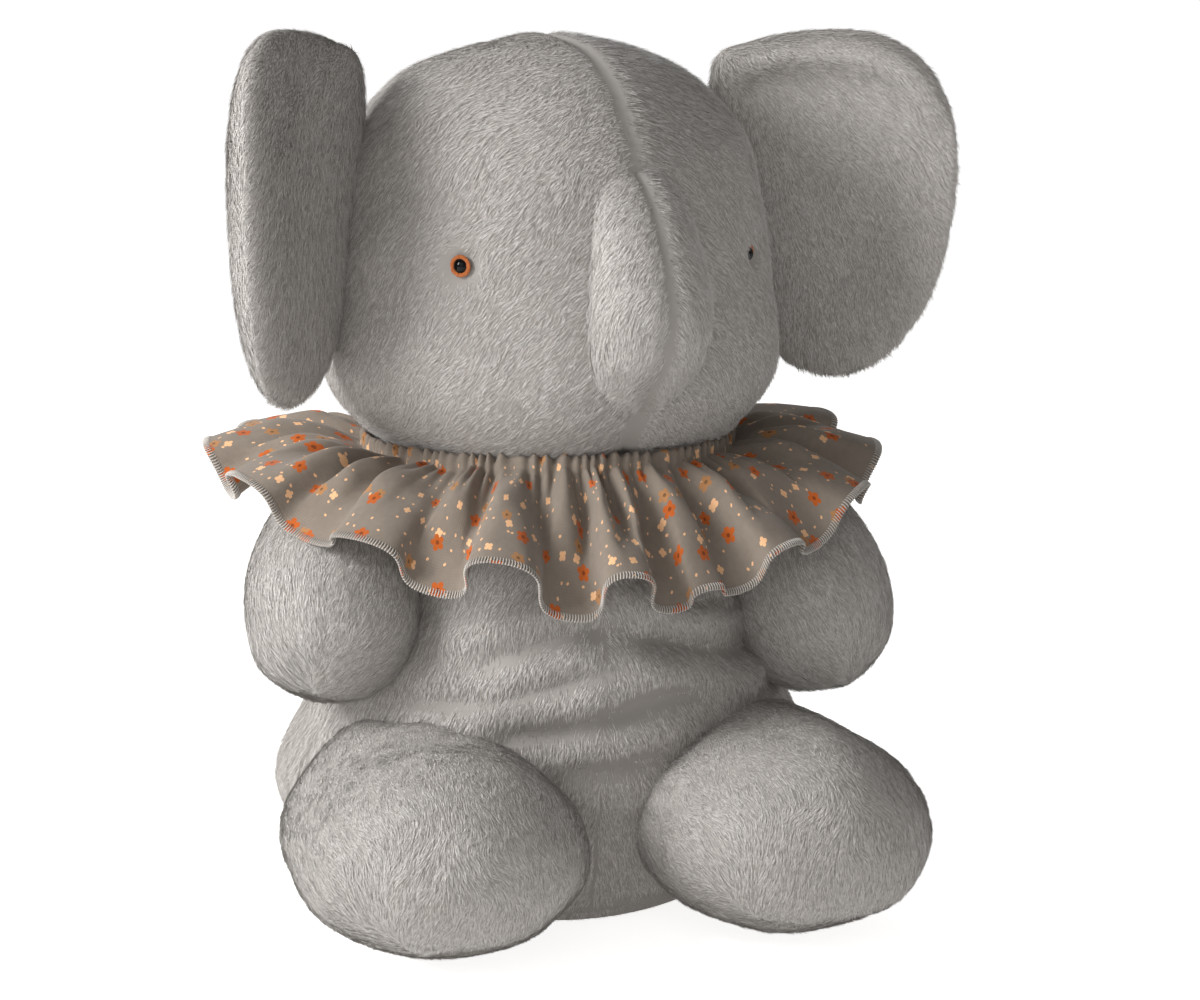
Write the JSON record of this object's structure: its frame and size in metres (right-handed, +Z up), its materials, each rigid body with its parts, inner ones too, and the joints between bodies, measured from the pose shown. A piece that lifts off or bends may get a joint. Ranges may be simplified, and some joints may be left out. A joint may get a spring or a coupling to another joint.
{
  "type": "stuffed elephant",
  "caption": "Seated plush elephant in long soft grey fur, with a stubby trunk, wide floppy ears, button eyes and a gathered floral ruffle collar.",
  "frame": {"origin": "on the floor under the middle of the body, in the flat of the seat", "axes": "+Z up, the elephant's body faces -Y, and its own left side is +X. The head is turned 10 degrees to its left."},
  "size_m": [0.3898, 0.3575, 0.455],
  "materials": {
    "grey_fur": "soft long-pile faux fur, warm grey",
    "fibre_filling": "white polyester fibre filling",
    "bead_bag_cloth": "plain woven pouch of plastic beads",
    "eye_black": "polished black plastic",
    "eye_ring": "rust-orange rough-edged ring",
    "eye_washer": "milky moulded plastic",
    "printed_cotton": "taupe cotton with small rust and peach flowers",
    "elastic_tape": "flat white elastic"
  },
  "bodies": {
    "torso": {"torso_front_panel": "grey_fur", "torso_back_panel": "grey_fur", "torso_filling": "fibre_filling", "bead_bag": "bead_bag_cloth"},
    "neck": {"neck_filling": "fibre_filling"},
    "head": {"head_left_panel": "grey_fur", "head_right_panel": "grey_fur", "head_filling": "fibre_filling", "eye_left_cap": "eye_black", "eye_left_ring": "eye_ring", "eye_left_washer": "eye_washer", "eye_right_cap": "eye_black", "eye_right_ring": "eye_ring", "eye_right_washer": "eye_washer"},
    "trunk": {"trunk_left_panel": "grey_fur", "trunk_right_panel": "grey_fur", "trunk_filling": "fibre_filling"},
    "collar": {"collar_ruffle": "printed_cotton", "collar_elastic": "elastic_tape"},
    "tail": {"tail": "grey_fur"},
    "ear_left": {"ear_left_front_panel": "grey_fur", "ear_left_back_panel": "grey_fur", "ear_left_padding": "fibre_filling"},
    "arm_left": {"arm_left_outer_panel": "grey_fur", "arm_left_inner_panel": "grey_fur", "arm_left_filling": "fibre_filling"},
    "leg_left": {"leg_left_upper_panel": "grey_fur", "leg_left_lower_panel": "grey_fur", "leg_left_filling": "fibre_filling"},
    "ear_right": {"ear_right_front_panel": "grey_fur", "ear_right_back_panel": "grey_fur", "ear_right_padding": "fibre_filling"},
    "arm_right": {"arm_right_outer_panel": "grey_fur", "arm_right_inner_panel": "grey_fur", "arm_right_filling": "fibre_filling"},
    "leg_right": {"leg_right_upper_panel": "grey_fur", "leg_right_lower_panel": "grey_fur", "leg_right_filling": "fibre_filling"}
  },
  "joints": [
    {"name": "head_turn", "type": "hinge", "parent": "torso", "child": "neck", "pos_m": [0, 0.004, 0.24], "axis": [0, 0, 1], "range_deg": [-20, 20], "stiffness_Nm_per_rad": 1.5},
    {"name": "head_nod", "type": "hinge", "parent": "neck", "child": "head", "pos_m": [0, 0.004, 0.256], "axis": [0.9848, 0.1736, 0], "range_deg": [-5, 5], "stiffness_Nm_per_rad": 12},
    {"name": "trunk_lift", "type": "hinge", "parent": "head", "child": "trunk", "pos_m": [0.01927, -0.10531, 0.392], "axis": [-0.9848, -0.1736, 0], "range_deg": [0, 35], "stiffness_Nm_per_rad": 0.05},
    {"name": "collar_turn", "type": "hinge", "parent": "torso", "child": "collar", "pos_m": [0, 0.004, 0.24], "axis": [0, 0, 1], "range_deg": [-8, 8]},
    {"name": "tail_wag", "type": "hinge", "parent": "torso", "child": "tail", "pos_m": [0, 0.129, 0.078], "axis": [0, 1, 0], "range_deg": [-30, 30], "stiffness_Nm_per_rad": 0.01},
    {"name": "ear_left_flap", "type": "hinge", "parent": "head", "child": "ear_left", "pos_m": [0.10254, 0.02716, 0.412], "axis": [0, 0, -1], "range_deg": [-40, 6], "stiffness_Nm_per_rad": 0.1},
    {"name": "arm_left_swing", "type": "hinge", "parent": "torso", "child": "arm_left", "pos_m": [0.112, -0.002, 0.204], "axis": [-1, 0, 0], "range_deg": [0, 6], "stiffness_Nm_per_rad": 0.6},
    {"name": "leg_left_lift", "type": "hinge", "parent": "torso", "child": "leg_left", "pos_m": [0.084, -0.035, 0.064], "axis": [-1, 0, 0], "range_deg": [0, 3]},
    {"name": "ear_right_flap", "type": "hinge", "parent": "head", "child": "ear_right", "pos_m": [-0.10427, -0.00931, 0.412], "axis": [0, 0, 1], "range_deg": [-40, 6], "stiffness_Nm_per_rad": 0.1},
    {"name": "arm_right_swing", "type": "hinge", "parent": "torso", "child": "arm_right", "pos_m": [-0.112, -0.002, 0.204], "axis": [-1, 0, 0], "range_deg": [0, 6], "stiffness_Nm_per_rad": 0.6},
    {"name": "leg_right_lift", "type": "hinge", "parent": "torso", "child": "leg_right", "pos_m": [-0.088, -0.035, 0.064], "axis": [-1, 0, 0], "range_deg": [0, 3]}
  ]
}
